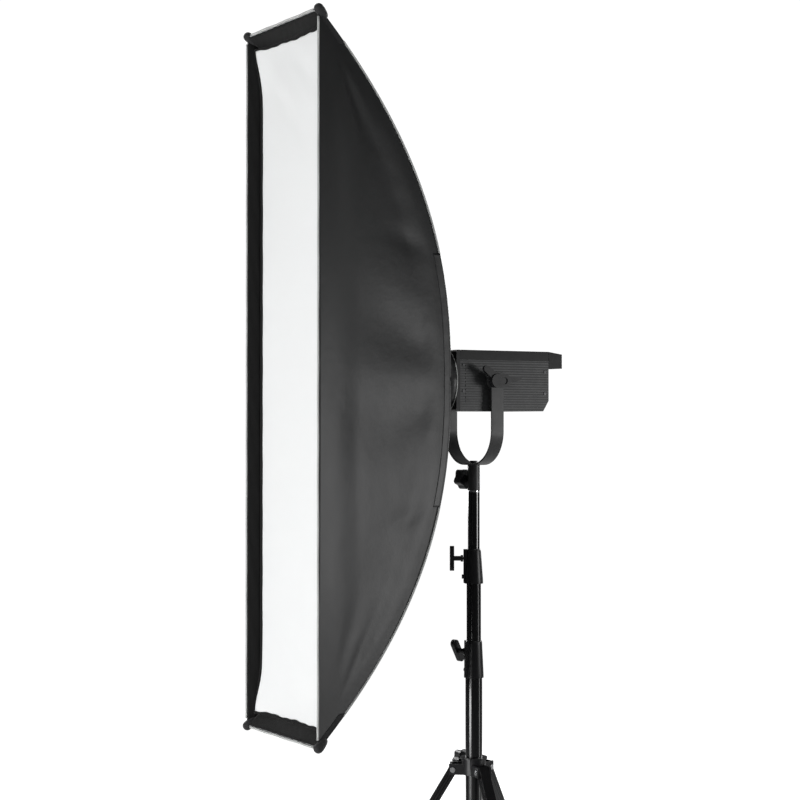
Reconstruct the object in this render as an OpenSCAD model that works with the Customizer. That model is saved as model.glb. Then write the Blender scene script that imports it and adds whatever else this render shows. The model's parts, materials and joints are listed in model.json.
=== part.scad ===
// Strip softbox on a monolight, a yoke and a three-section light stand.
// Millimetres, +Z up. The origin is the point on the floor under the stand's column.
// The softbox faces -Y. All sizes are in the open, standing state.

/* [Softbox] */
// Height of the softbox's front frame
box_h = 1400; // [1200:10:1500]
// Width of the softbox's front frame
box_w = 300; // [280:5:320]
// Distance from the column's axis to the softbox's front plane
front_reach = 453; // [430:1:480]
// Distance from the column's axis to the fabric's rear opening
rear_reach = 107; // [106:1:110]
// Half width of the fabric at its rear opening
rear_half_w = 74; // [73:1:76]
// Exponent of the bent rods' curve: higher is straighter near the ring
rod_curve = 2.4; // [2.2:0.1:2.6]

/* [Lamp head] */
// Height of the tilt axis, which is the lamp's optical axis, above the floor
axis_z = 1600; // [1590:5:1640]
// Width of the lamp housing
lamp_w = 144; // [138:1:146]
// Height of the whole lamp head
lamp_h = 125; // [123:1:127]
// Rear end of the lamp housing, from the tilt axis
lamp_back = 141; // [139:1:143]
// Front end of the lamp housing, from the tilt axis
lamp_front = 81; // [79:1:83]

/* [Yoke] */
// Width of the yoke's flat strap
strap_w = 30; // [26:1:34]
// Thickness of the yoke's strap
strap_t = 4; // [3:0.5:5]
// Inner width between the yoke's arms
yoke_gap = 170; // [168:1:174]
// Depth of the yoke below the tilt axis, to its underside
yoke_drop = 174; // [173:1:176]
// Outer radius of the yoke's bends
yoke_bend = 72; // [50:1:80]

/* [Stand] */
// Outer radius of the lowest column tube
base_r = 17.5; // [17:0.5:18]
// Outer radius of the middle tube
middle_r = 15; // [14.8:0.1:15]
// Outer radius of the upper tube
upper_r = 12.3; // [12:0.1:12.5]
// Wall of the three column tubes
tube_wall = 1.5; // [1.2:0.1:1.5]
// Height of the leg pivots above the floor
pivot_z = 792; // [780:1:800]
// Distance from the column's axis to the leg pivots
pivot_r = 43; // [42:0.5:46]
// Angle of an open leg from the vertical
leg_angle = 30.7; // [25:0.1:35]
// Length of a brace, and the distance down the leg to its pivot
brace_len = 340; // [320:5:360]

/* [Hidden] */
$fn = 64;

// Softbox
panel_t = 1.5;
side_angle = atan((box_w / 2 - rear_half_w) / (front_reach - rear_reach));
end_slope = rod_curve * (front_reach - rear_reach) / (box_h / 2);
curve_steps = 14;
curve_end = 0.985;
opening_r = 76;
collar_r = 78;
rim_depth = 27;
diffuser_y = -(front_reach - 29);
baffle_y = -280;
baffle_w = 170;
baffle_h = 760;
rod_r = 2.5;
rod_inset = 9.5;
rod_steps = 22;
rod_start_z = 46;
rod_end_z = 655;
rod_bow = 26;
rod_draw_in = 38;
strap_len = 119;
strap_lean = 7;
piping_r = 2.2;
piping_gap = 0.2;
piping_steps = 12;
flap_end = 255;
pocket_start = 642;
ring_front = -135;
ring_back = -114;
ring_r = 70;
hub_r = 50;
socket_tilt = 13.5;
running = 0.1;

// Lamp head, heights from the tilt axis
lamp_bottom = -62;
cover_z = 43;
lamp_top = lamp_h + lamp_bottom;
shell_t = 3;
grip_back = 176;
grip_bottom = 28;
bezel_front = -90;
nose_front = -106;
nose_r = 61;
light_r = 44;
screw_places = [[-73, 32], [-73, -21], [131, 20], [131, -25]];
pivot_shaft_r = 5;

cover_edge = 3;
grip_wall = 8;
pivot_boss_r = 17;
lever_hub_r = 14;
fan_y = 60;
dimmer_at = [42, 0, -15];
mode_at = [12, 0, -15];

// Stand
gap = 0.3;
receiver_h = 53;
receiver_screw_drop = 29;
collar_screw_rise = 52;
collar_bolt_rise = 14;
receiver_top = axis_z - yoke_drop;
receiver_bottom = receiver_top - receiver_h;
receiver_r = 13;
stud_r = 7.9;
upper_collar_z = [axis_z - 421, axis_z - 349];
lower_collar_z = [axis_z - 617, axis_z - 540];
knob_azimuth_left = 238.6;
knob_azimuth_back = 195;
tripod_knob_azimuth = 172;
tripod_knob_rise = 13;
collar_h = 36;
leg_w = 22;
leg_d = 19;
leg_wall = 1.5;
pin_r = 3;
ear_t = 4;
strap_gap = 0.8;
brace_t = 2.5;
brace_w = 14;
leg_azimuths = [-8, -128, 112];
leg_len = pivot_z / cos(leg_angle);
spider_z = pivot_z - 2 * brace_len * cos(leg_angle);

module x_rod(r, x0, x1) {
    translate([x0, 0, 0]) rotate([0, 90, 0]) cylinder(r = r, h = x1 - x0);
}

module y_rod(r, y0, y1) {
    translate([0, y0, 0]) rotate([-90, 0, 0]) cylinder(r = r, h = y1 - y0);
}

module y_ring(r, bore, y0, y1) {
    difference() {
        y_rod(r, y0, y1);
        y_rod(bore, y0 - 1, y1 + 1);
    }
}

// A box given by its lowest and highest corners
module span(low, high) {
    translate(low) cube(high - low);
}

// A side view, [Y, Z] points, made as thick as the width along X
module side_view(points, width) {
    rotate([90, 0, 90]) linear_extrude(width, center = true) polygon(points);
}

module at_axis() {
    translate([0, 0, axis_z]) children();
}

// A round bar swept along a list of points
function ring_points(path, i, r, sides) =
    let(before = path[max(i - 1, 0)], after = path[min(i + 1, len(path) - 1)])
    let(t = (after - before) / norm(after - before))
    let(c = cross(t, [1, 0, 0]), u = c / norm(c), v = cross(t, u))
    [for (k = [0:sides - 1]) path[i] + r * (cos(360 * k / sides) * u + sin(360 * k / sides) * v)];

module swept_bar(path, r, sides = 8) {
    rows = len(path);
    points = [for (i = [0:rows - 1]) each ring_points(path, i, r, sides)];
    skin = [for (i = [0:rows - 2]) for (k = [0:sides - 1])
        let(a = i * sides, b = a + sides, next = (k + 1) % sides)
        [a + k, b + k, b + next, a + next]];
    first = [for (k = [0:sides - 1]) k];
    last = [for (k = [sides - 1:-1:0]) (rows - 1) * sides + k];
    polyhedron(points = points, faces = concat([first], skin, [last]), convexity = 6);
}

// The bent seam between a side panel and an end panel, seen from the side
function seam_share(z) = abs(z) / (box_h / 2);
function seam_y(z) = -rear_reach - (front_reach - rear_reach) * pow(seam_share(z), rod_curve);
function seam_slope(z) = end_slope * pow(seam_share(z), rod_curve - 1);
function seam_normal(z) = [1, sign(z) * seam_slope(z)] / norm([1, seam_slope(z)]);
function skin_point(z, grow) = [seam_y(z), z] + grow * seam_normal(z);
function half_width(y) =
    rear_half_w + (box_w / 2 - rear_half_w) * (-rear_reach - y) / (front_reach - rear_reach);
function side_x(y, grow) = half_width(y) + grow / cos(side_angle);
function tip_z(grow, front) =
    box_h / 2 + front / end_slope + grow * sqrt(1 + 1 / (end_slope * end_slope));
function outline(grow, front) = concat(
    [[-front_reach - front, -tip_z(grow, front)]],
    [for (i = [-curve_steps:curve_steps]) skin_point(curve_end * box_h / 2 * i / curve_steps, grow)],
    [[-front_reach - front, tip_z(grow, front)]]
);

// The wedge between the two planes of the side panels
module wedge(grow, front) {
    y0 = -front_reach - front;
    y1 = -60;
    x0 = side_x(y0, grow);
    x1 = side_x(y1, grow);
    linear_extrude(2 * box_h, center = true) polygon([[x0, y0], [x1, y1], [-x1, y1], [-x0, y0]]);
}

module bulge(grow, front) {
    side_view(outline(grow, front), 2 * box_w);
}

// The space inside the fabric's outer skin, grown or shrunk
module envelope(grow, front) {
    intersection() {
        bulge(grow, front);
        wedge(grow, front);
    }
}

module side_panel(side) {
    intersection() {
        difference() {
            envelope(0, 0);
            wedge(-panel_t, 1);
        }
        translate([side * box_w, -front_reach / 2, 0])
            cube([2 * box_w, 2 * front_reach, 2 * box_h], center = true);
    }
}

module end_panel(side) {
    intersection() {
        difference() {
            bulge(0, 0);
            bulge(-panel_t, 2);
            y_rod(opening_r, -rear_reach - 20, -rear_reach + 20);
        }
        wedge(-panel_t, 0);
        translate([0, 0, side * box_h]) cube([2 * box_w, 4 * front_reach, 2 * box_h], center = true);
    }
}

module side_panel_right() {
    color("#1c1c1e") at_axis() side_panel(1);
}

module side_panel_left() {
    color("#1c1c1e") at_axis() side_panel(-1);
}

module end_panel_top() {
    color("#19191b") at_axis() end_panel(1);
}

module end_panel_bottom() {
    color("#19191b") at_axis() end_panel(-1);
}

// Hook-and-loop band inside the front rim
module rim_band() {
    color("#0d0d0e") at_axis() intersection() {
        difference() {
            envelope(-panel_t - 0.2, 0);
            envelope(-panel_t - 3, 2);
        }
        span([-box_w, -front_reach, -box_h], [box_w, -front_reach + rim_depth, box_h]);
    }
}

module outer_diffuser() {
    color("#f2f2f0") at_axis() intersection() {
        envelope(-panel_t - gap, 0);
        span([-box_w, diffuser_y - 1, -box_h], [box_w, diffuser_y, box_h]);
    }
}

// Corner pockets, which the rods' ends push into
module corner_pockets() {
    color("#101011") at_axis() for (x = [-1, 1]) for (z = [-1, 1]) intersection() {
        difference() {
            envelope(4, 4);
            envelope(0.1, 0.1);
        }
        translate([x * 160, -front_reach + 14, z * 706]) cube([120, 70, 112], center = true);
    }
}

function piping_z(i) = flap_end + (pocket_start - flap_end) * i / piping_steps;
function piping_point(x, z) =
    let(p = skin_point(z, piping_r + piping_gap))
    [x * (half_width(p[0]) + piping_r), p[0], p[1]];

// Binding on the four seams outside the flaps, and on the front edges between the corner pockets
module edge_piping() {
    front_y = -front_reach - piping_r - piping_gap;
    color("#b9b9b6") at_axis() {
        for (x = [-1, 1]) for (z = [-1, 1])
            swept_bar([for (i = [0:piping_steps]) piping_point(x, z * piping_z(i))], piping_r);
        for (x = [-1, 1])
            translate([x * (box_w / 2 - piping_r), front_y, -620]) cylinder(r = piping_r, h = 1240);
        for (z = [-1, 1])
            translate([-95, front_y, z * (box_h / 2 - 2)]) rotate([0, 90, 0])
                cylinder(r = piping_r, h = 190);
    }
}

// Sprung rods from the speed ring to the corner pockets, inside the seams
function rod_lead(z) = 1 - seam_share(z);
function rod_point(x, z) =
    let(p = skin_point(z, -rod_inset))
    let(y = p[0] - rod_bow * pow(rod_lead(z), 3))
    [x * (half_width(y) - rod_inset - rod_draw_in * pow(rod_lead(z), 6)), y, p[1]];

module support_rods() {
    color("#c8cacc") at_axis() for (x = [-1, 1]) for (z = [-1, 1])
        swept_bar([for (i = [0:rod_steps])
            rod_point(x, z * (rod_start_z + (rod_end_z - rod_start_z) * i / rod_steps))], rod_r);
}

module inner_baffle() {
    color("#ececea") at_axis() translate([0, baffle_y, 0]) cube([baffle_w, 1.5, baffle_h], center = true);
}

module baffle_straps() {
    color("#141415") at_axis() for (x = [-1, 1]) for (z = [-1, 1])
        translate([x * baffle_w / 2, baffle_y, z * baffle_h / 2]) rotate([0, x * z * strap_lean, 0])
            translate([0, 0, z * (strap_len / 2 + 1)]) cube([8, 1.2, strap_len], center = true);
}

// Tubes on the ring's front face that the rods' inner ends slip into
module rod_sockets(r, behind) {
    for (x = [-1, 1]) for (z = [-1, 1])
        translate(rod_point(x, z * rod_start_z)) rotate([0, x * z * socket_tilt, 0])
            translate([0, 0, z > 0 ? -behind : -14]) cylinder(r = r, h = 14 + behind);
}

module speed_ring() {
    color("#3a3b3d") at_axis() {
        difference() {
            union() {
                y_ring(ring_r, hub_r + running, ring_front, ring_back);
                rod_sockets(5, 4);
            }
            rod_sockets(3.2, 1);
        }
    }
}

// Short fabric sleeve around the rear opening
module rear_collar() {
    color("#151516") at_axis() y_ring(collar_r, collar_r - 3.5, -rear_reach + gap, bezel_front - 1);
}

// Outline of the lamp housing from the side
function housing_points(inset) = [
    [-lamp_front + inset, lamp_bottom + 6 + inset / 2],
    [-lamp_front + 6 + inset / 2, lamp_bottom + inset],
    [lamp_back - 14 - inset / 2, lamp_bottom + inset],
    [lamp_back - inset, lamp_bottom + 22 + inset],
    [lamp_back - inset, cover_z],
    [-lamp_front + inset, cover_z]
];

module lamp_housing() {
    color("#2a2b2e") at_axis() difference() {
        union() {
            side_view(housing_points(0), lamp_w);
            for (z = [-44:8:28])
                span([-lamp_w / 2 - 0.8, -68, z], [lamp_w / 2 + 0.8, -20, z + 4]);
        }
        intersection() {
            side_view(housing_points(shell_t), lamp_w - 2 * shell_t);
            span([-lamp_w, -lamp_front, lamp_bottom], [lamp_w, lamp_back, cover_z - 0.01]);
        }
        translate([0, 0, shell_t]) side_view(housing_points(shell_t + 2), lamp_w - 2 * shell_t - 4);
        y_rod(light_r + 4, -lamp_front - 1, -lamp_front + shell_t + 1);
        span([-60.2, lamp_back - shell_t - 1, -32.2], [60.2, lamp_back + 1, 36.2]);
        for (p = screw_places)
            translate([0, p[0], p[1]]) x_rod(1.5, -lamp_w, lamp_w);
        x_rod(pivot_shaft_r, -lamp_w, lamp_w);
    }
}

module top_cover() {
    top = lamp_top;
    color("#161617") at_axis() difference() {
        side_view([[-lamp_front, cover_z], [-lamp_front, top - cover_edge], [-lamp_front + cover_edge, top],
            [lamp_back + gap, top], [lamp_back + gap, cover_z]], lamp_w);
        span([-lamp_w / 2 + shell_t, -lamp_front + shell_t, cover_z - 1],
            [lamp_w / 2 - shell_t, lamp_back - shell_t, top - shell_t]);
    }
}

// Carrying grip behind the cover, open below for the fingers
module rear_grip() {
    top = lamp_top;
    front = lamp_back + gap;
    color("#161617") at_axis() difference() {
        side_view([[front, top], [grip_back, top - 5], [grip_back, grip_bottom], [front, grip_bottom]], lamp_w);
        span([-lamp_w / 2 + grip_wall, front - 1, grip_bottom - 1],
            [lamp_w / 2 - grip_wall, grip_back - 6, top - 10]);
    }
}

module front_bezel() {
    color("#121213") at_axis() difference() {
        union() {
            side_view([[bezel_front, lamp_bottom + cover_edge], [bezel_front + cover_edge, lamp_bottom],
                [-lamp_front, lamp_bottom], [-lamp_front, lamp_top], [bezel_front + cover_edge, lamp_top],
                [bezel_front, lamp_top - cover_edge]], lamp_w);
            y_rod(nose_r, nose_front, bezel_front + 1);
        }
        y_rod(hub_r, nose_front - 1, 0);
        span([-lamp_w, bezel_front + 2, -12], [-hub_r - 8, -lamp_front - 2, 12]);
    }
}

module bayonet_socket() {
    color("#b6b8ba") at_axis() y_ring(hub_r, light_r + 2, nose_front + 2, -lamp_front);
}

module bayonet_plate() {
    color("#c4c6c8") at_axis() {
        y_ring(nose_r, light_r, ring_back + 1, nose_front);
        y_ring(hub_r, light_r, ring_front + 1, ring_back + 1);
        y_ring(light_r + 1.8, light_r, nose_front, nose_front + 10);
    }
}

module release_lever() {
    color("#0f0f10") at_axis() {
        span([-lamp_w / 2 - 5, bezel_front + 1, -7], [-lamp_w / 2 - gap, -lamp_front - 1, 7]);
        span([-lamp_w / 2 - gap, bezel_front + 3, -4], [-hub_r - 11, -lamp_front - 3, 4]);
    }
}

module led_module() {
    color("#e6c34a") at_axis() {
        y_rod(15, -47, -44);
        translate([-24, -44, -24]) cube([48, 3, 48]);
    }
}

module reflector_cup() {
    color("#d9dadc") at_axis() translate([0, -47.5, 0]) rotate([90, 0, 0])
        rotate_extrude() polygon([[16, 0], [42, 28], [42, 31], [40.5, 31], [15.5, 2]]);
}

module glass_cover() {
    color("#dfe7ea") at_axis() y_rod(42, -lamp_front - 2, -lamp_front + 1);
}

module heatsink() {
    color("#8e9194") at_axis() {
        difference() {
            translate([-44, -41, -44]) cube([88, 6, 84]);
            y_rod(4, -50, -40);
        }
        for (i = [-5:5])
            translate([i * 8 - 1, -35, -44]) cube([2, 88, 84]);
        translate([-44, 53, -44]) cube([88, 3, 84]);
        y_rod(pin_r - 0.1, 56, 74);
    }
}

module fan_rotor() {
    color("#232324") at_axis() difference() {
        union() {
            y_rod(14, fan_y, fan_y + 16);
            for (i = [0:6])
                rotate([0, i * 360 / 7, 0]) translate([0, fan_y + 2, -6]) cube([36, 2.5, 12]);
        }
        y_rod(pin_r, 50, 75);
    }
}

module driver_board() {
    color("#1f5b34") at_axis() {
        translate([-50, 84, -50]) cube([100, 36, 1.6]);
        translate([-40, 88, -48.4]) cube([26, 26, 22]);
        translate([6, 90, -48.4]) cube([20, 20, 16]);
    }
}

module rear_panel() {
    color("#18181a") at_axis() difference() {
        span([-60, lamp_back - shell_t, -32], [60, lamp_back, 36]);
        span([-20, lamp_back - 5, 5], [38, lamp_back + 1, 31]);
        span([-58, lamp_back - 5, 4], [-30, lamp_back + 1, 28]);
        span([-56, lamp_back - 5, -27], [-34, lamp_back + 1, -9]);
        translate(dimmer_at) y_rod(pin_r + 0.1, lamp_back - 11, lamp_back + 9);
        translate(mode_at) y_rod(4.2, lamp_back - 11, lamp_back + 9);
    }
}

module display_window() {
    color("#27343a") at_axis() span([-20, lamp_back - shell_t, 5], [38, lamp_back - 0.5, 31]);
}

module dimmer_knob() {
    color("#0e0e0f") at_axis() translate(dimmer_at) {
        y_rod(9, lamp_back + gap, lamp_back + 13);
        y_rod(pin_r, lamp_back - 10, lamp_back + 1);
    }
}

module mode_button() {
    color("#3a3a3c") at_axis() translate(mode_at) y_rod(4, lamp_back - 6, lamp_back + 2);
}

module power_switch() {
    color("#8f1712") at_axis() difference() {
        span([-55.4, lamp_back - 4, -26.4], [-34.6, lamp_back + 1.5, -9.6]);
        span([-60, lamp_back + 0.5, -18.5], [-30, lamp_back + 3, -17.5]);
    }
}

module power_inlet() {
    color("#0c0c0d") at_axis() {
        difference() {
            span([-58, lamp_back - 22, 4], [-30, lamp_back, 28]);
            span([-55, lamp_back - 18, 7], [-33, lamp_back + 1, 25]);
        }
        for (x = [-51, -44, -37])
            translate([x - 1, lamp_back - 19, 13]) cube([2, 14, 5]);
    }
}

module housing_screws() {
    color("#9a9c9f") at_axis() for (s = [-1, 1]) for (p = screw_places)
        translate([0, p[0], p[1]]) {
            x_rod(3.2, s > 0 ? lamp_w / 2 : -lamp_w / 2 - 1.2, s > 0 ? lamp_w / 2 + 1.2 : -lamp_w / 2);
            x_rod(1.5, s > 0 ? lamp_w / 2 - 3 : -lamp_w / 2, s > 0 ? lamp_w / 2 : -lamp_w / 2 + 3);
        }
}

// Round bosses and stub shafts that the yoke's arms carry
module pivot_bosses() {
    inner = yoke_gap / 2;
    color("#1a1a1b") at_axis() for (s = [0, 1]) mirror([s, 0, 0]) {
        x_rod(pivot_boss_r, lamp_w / 2 + 0.8, inner - gap);
        x_rod(pivot_shaft_r, lamp_w / 2 - 8, inner + strap_t + 4);
    }
    color("#1a1a1b") at_axis() x_rod(11, -inner - strap_t - gap - 8, -inner - strap_t - gap);
}

module yoke_bracket() {
    out_x = yoke_gap / 2 + strap_t;
    straight = out_x - yoke_bend;
    color("#2b2c2e") at_axis() difference() {
        union() {
            rotate([90, 0, 0]) linear_extrude(strap_w, center = true) difference() {
                yoke_outline(out_x, yoke_bend, yoke_drop);
                yoke_outline(out_x - strap_t, yoke_bend - strap_t, yoke_drop - strap_t);
            }
            for (x = [-out_x, out_x - strap_t])
                x_rod(20, x, x + strap_t);
        }
        x_rod(pivot_shaft_r + 0.1, -out_x - 1, out_x + 1);
        translate([0, 0, -yoke_drop - 1]) cylinder(r = 5, h = 20);
        span([-straight, -strap_w, 0], [straight, strap_w, 40]);
    }
}

module yoke_outline(half, bend, drop) {
    translate([-half, -drop + bend]) square([2 * half, drop - bend]);
    translate([-half + bend, -drop]) square([2 * (half - bend), drop]);
    for (x = [-1, 1])
        translate([x * (half - bend), -drop + bend]) circle(r = bend);
}

module spigot_receiver() {
    color("#1d1d1f") difference() {
        translate([0, 0, receiver_bottom]) cylinder(r = receiver_r, h = receiver_h);
        translate([0, 0, receiver_bottom - 1]) cylinder(r = stud_r + 0.1, h = 42);
        translate([0, 0, receiver_top - 20]) cylinder(r = 4, h = 30);
        translate([0, 0, receiver_top - receiver_screw_drop]) rotate([0, 0, knob_azimuth_back])
            x_rod(pin_r, 0, 20);
    }
}

module yoke_bolt() {
    color("#8d8f92") {
        translate([0, 0, receiver_top + strap_t]) cylinder(r = 8, h = 5, $fn = 6);
        translate([0, 0, receiver_top]) cylinder(r = 5, h = strap_t);
        translate([0, 0, receiver_top - 10]) cylinder(r = 4, h = 12);
    }
}

// A clamping knob on a radial screw: a five-lobed grip on a round hub
module lobed_knob(reach, tip, r) {
    difference() {
        union() {
            x_rod(8, reach, reach + 7);
            translate([reach + 6, 0, 0]) rotate([0, 90, 0]) linear_extrude(tip - reach - 6)
                polygon([for (a = [0:6:354]) (r - 2.5 + 2.5 * cos(5 * a)) * [cos(a), sin(a)]]);
        }
        x_rod(4, tip - 2, tip + 1);
    }
}

// A clamping knob with a straight bar across a thin waist
module bar_knob(reach, tip, length, thick) {
    x_rod(7, reach, reach + 5);
    x_rod(5, reach + 4, tip - 8);
    translate([tip - 9, -length / 2 + thick / 2, -thick / 2]) cube([9, length - thick, thick]);
    for (y = [-1, 1])
        translate([0, y * (length - thick) / 2, 0]) x_rod(thick / 2, tip - 9, tip);
}

module receiver_knob() {
    color("#101011") translate([0, 0, receiver_top - receiver_screw_drop])
        rotate([0, 0, knob_azimuth_back]) {
            lobed_knob(receiver_r + gap, 37, 22);
            x_rod(pin_r - 0.1, 9, receiver_r + 2);
        }
}

// A bar with round ends between two [Y, Z] points, seen along X
module side_bar(from, from_r, to, to_r, x0, x1) {
    hull() {
        translate([0, from[0], from[1]]) x_rod(from_r, x0, x1);
        translate([0, to[0], to[1]]) x_rod(to_r, x0, x1);
    }
}

module tilt_lever() {
    x0 = yoke_gap / 2 + strap_t;
    color("#0f0f10") at_axis() difference() {
        union() {
            side_bar([-9, 0], lever_hub_r, [9, 0], lever_hub_r, x0 + gap, x0 + 14);
            side_bar([0, 0], 7, [48, 5], 4, x0 + 5, x0 + 11);
            side_bar([0, 0], 9, [-34, 24], 7, x0 + 5, x0 + 11);
        }
        x_rod(pivot_shaft_r + running, x0 - 1, x0 + 4.2);
        side_bar([-8, 0], 7, [8, 0], 7, x0 + 12, x0 + 15);
    }
}

module pipe(r, wall, z0, z1) {
    difference() {
        translate([0, 0, z0]) cylinder(r = r, h = z1 - z0);
        translate([0, 0, z0 - 1]) cylinder(r = r - wall, h = z1 - z0 + 2);
    }
}

module stand_spigot() {
    color("#c9cbcd") {
        translate([0, 0, receiver_bottom]) cylinder(r = stud_r, h = 38);
        translate([0, 0, receiver_bottom - 3]) cylinder(r = upper_r, h = 3 - gap);
        translate([0, 0, receiver_bottom - 1]) cylinder(r = stud_r, h = 2);
        translate([0, 0, receiver_bottom - 33]) cylinder(r = upper_r - tube_wall, h = 30);
    }
}

module upper_tube() {
    color("#0b0b0c") pipe(upper_r, tube_wall, 590, receiver_bottom - 3);
}

module middle_tube() {
    color("#0b0b0c") pipe(middle_r, tube_wall, 400, upper_collar_z[0] + 26);
}

module base_tube() {
    color("#0b0b0c") pipe(base_r, tube_wall, spider_z - 14, lower_collar_z[0] + 32);
}

// A tapered collar that grips an outer tube and clamps an inner one
module clamp_collar(z, low_r, high_r, outer, socket, inner, azimuth) {
    height = z[1] - z[0];
    difference() {
        union() {
            translate([0, 0, z[0]]) rotate_extrude()
                polygon([[0, 0], [low_r, 0], [low_r, 6], [high_r, height - 3], [high_r - 1, height],
                    [0, height]]);
            rotate([0, 0, azimuth]) span([0, -6, z[0] + 1], [21.5, 6, z[1] - 1]);
            translate([0, 0, z[0] + collar_bolt_rise]) rotate([0, 0, azimuth]) x_rod(4.5, 20, 25);
        }
        translate([0, 0, z[0] - 1]) cylinder(r = outer, h = socket + 1);
        translate([0, 0, z[0]]) cylinder(r = inner, h = height + 1);
        translate([0, 0, z[0] + collar_screw_rise]) rotate([0, 0, azimuth]) x_rod(pin_r, inner, 30);
    }
}

module upper_collar() {
    color("#131314")
        clamp_collar(upper_collar_z, 19.5, 15, middle_r, 26, upper_r + 0.1, knob_azimuth_left);
}

module lower_collar() {
    color("#131314")
        clamp_collar(lower_collar_z, 20.5, 17.3, base_r, 32, middle_r + 0.1, knob_azimuth_back);
}

module collar_screw_knob(z, azimuth, turn) {
    translate([0, 0, z]) rotate([0, 0, azimuth]) rotate([turn, 0, 0]) {
        bar_knob(22 + gap, 50, 52, 17);
        x_rod(pin_r - 0.1, 18, 24);
    }
}

module upper_knob() {
    color("#0e0e0f") collar_screw_knob(upper_collar_z[0] + collar_screw_rise, knob_azimuth_left, 90);
}

module lower_knob() {
    color("#0e0e0f") collar_screw_knob(lower_collar_z[0] + collar_screw_rise, knob_azimuth_back, 60);
}

// Two ears on each side of every leg
module ears(near, far, low, high, inner, thick) {
    for (a = leg_azimuths) rotate([0, 0, a]) for (s = [-1, 1])
        translate([near, s > 0 ? inner : -inner - thick, low]) cube([far - near, thick, high - low]);
}

module leg_pins(z, from, to) {
    for (a = leg_azimuths) rotate([0, 0, a]) translate([pivot_r, 0, z]) rotate([90, 0, 0])
        translate([0, 0, from]) cylinder(r = pin_r, h = to - from);
}

module tripod_collar() {
    ear = leg_w / 2 + 0.4;
    color("#111112") difference() {
        union() {
            translate([0, 0, pivot_z - 10]) cylinder(r = 25, h = collar_h);
            translate([0, 0, pivot_z + collar_h - 14]) cylinder(r = 28, h = 4);
            ears(20, pivot_r + 8, pivot_z - 10, pivot_z + 12, ear, ear_t);
            rotate([0, 0, tripod_knob_azimuth]) span([0, -8, pivot_z + 4], [34, 8, pivot_z + 22]);
        }
        translate([0, 0, pivot_z - 11]) cylinder(r = base_r + running, h = collar_h + 2);
        leg_pins(pivot_z, -40, 40);
        translate([0, 0, pivot_z + tripod_knob_rise]) rotate([0, 0, tripod_knob_azimuth])
            x_rod(pin_r, 10, 40);
        for (a = leg_azimuths) rotate([0, 0, a])
            span([26, -ear, pivot_z - 12], [80, ear, pivot_z + 12]);
    }
}

module collar_rivets() {
    reach = leg_w / 2 + 0.4 + ear_t;
    color("#c7c9cb") {
        leg_pins(pivot_z, -reach, reach);
        for (a = leg_azimuths) rotate([0, 0, a]) translate([pivot_r, 0, pivot_z]) for (s = [-1, 1])
            rotate([s * 90, 0, 0]) translate([0, 0, reach]) cylinder(r = 5.5, h = 1.6);
    }
}

module collar_knob() {
    color("#101011") translate([0, 0, pivot_z + tripod_knob_rise]) rotate([0, 0, tripod_knob_azimuth]) {
        lobed_knob(34 + gap, 66, 20);
        x_rod(pin_r - 0.1, 19, 36);
    }
}

module lower_spider() {
    ear = leg_w / 2 + strap_gap + brace_t + 0.5;
    color("#111112") {
        difference() {
            union() {
                translate([0, 0, spider_z - 17]) cylinder(r = 23, h = 34);
                ears(12, pivot_r + 8, spider_z - 10, spider_z + 10, ear, 3);
            }
            translate([0, 0, spider_z - 14]) cylinder(r = base_r, h = 40);
        }
        for (a = leg_azimuths) rotate([0, 0, a]) translate([pivot_r, 0, spider_z]) for (s = [-1, 1])
            rotate([s * 90, 0, 0]) translate([0, 0, ear + 3]) cylinder(r = 5, h = 1.6);
    }
}

// Places a leg's own frame: pivot at its origin, the leg running down along -Z
module leg_frame(i) {
    rotate([0, 0, leg_azimuths[i]]) translate([pivot_r, 0, pivot_z])
        rotate([0, -leg_angle, 0]) children();
}

module leg(i) {
    bottom = -leg_len + 14;
    color("#0c0c0d") leg_frame(i) difference() {
        translate([-leg_d / 2, -leg_w / 2, bottom]) cube([leg_d, leg_w, 10 - bottom]);
        translate([-leg_d / 2 + leg_wall, -leg_w / 2 + leg_wall, bottom - 1])
            cube([leg_d - 2 * leg_wall, leg_w - 2 * leg_wall, 12 - bottom]);
        for (z = [0, -brace_len])
            translate([0, 0, z]) rotate([90, 0, 0])
                cylinder(r = pin_r + 0.1, h = 2 * leg_w, center = true);
    }
}

module foot(i) {
    color("#1a1a1a") intersection() {
        leg_frame(i) difference() {
            translate([-leg_d / 2 - 3, -leg_w / 2 - 2.5, -leg_len - 30]) cube([leg_d + 6, leg_w + 5, 70]);
            translate([-leg_d / 2, -leg_w / 2, -leg_len + 14]) cube([leg_d, leg_w, 60]);
        }
        cylinder(r = 2000, h = 400);
    }
}

module brace(i) {
    near = leg_w / 2 + strap_gap;
    color("#0e0e0f") rotate([0, 0, leg_azimuths[i]])
        translate([pivot_r + brace_len * sin(leg_angle), 0, pivot_z - brace_len * cos(leg_angle)])
        rotate([0, leg_angle, 0]) {
            for (s = [-1, 1])
                translate([-brace_w / 2, s > 0 ? near : -near - brace_t, -brace_len - 7])
                    cube([brace_w, brace_t, brace_len + 14]);
            rotate([90, 0, 0]) cylinder(r = pin_r, h = 2 * near + 2 * brace_t + 3, center = true);
        }
}

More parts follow.
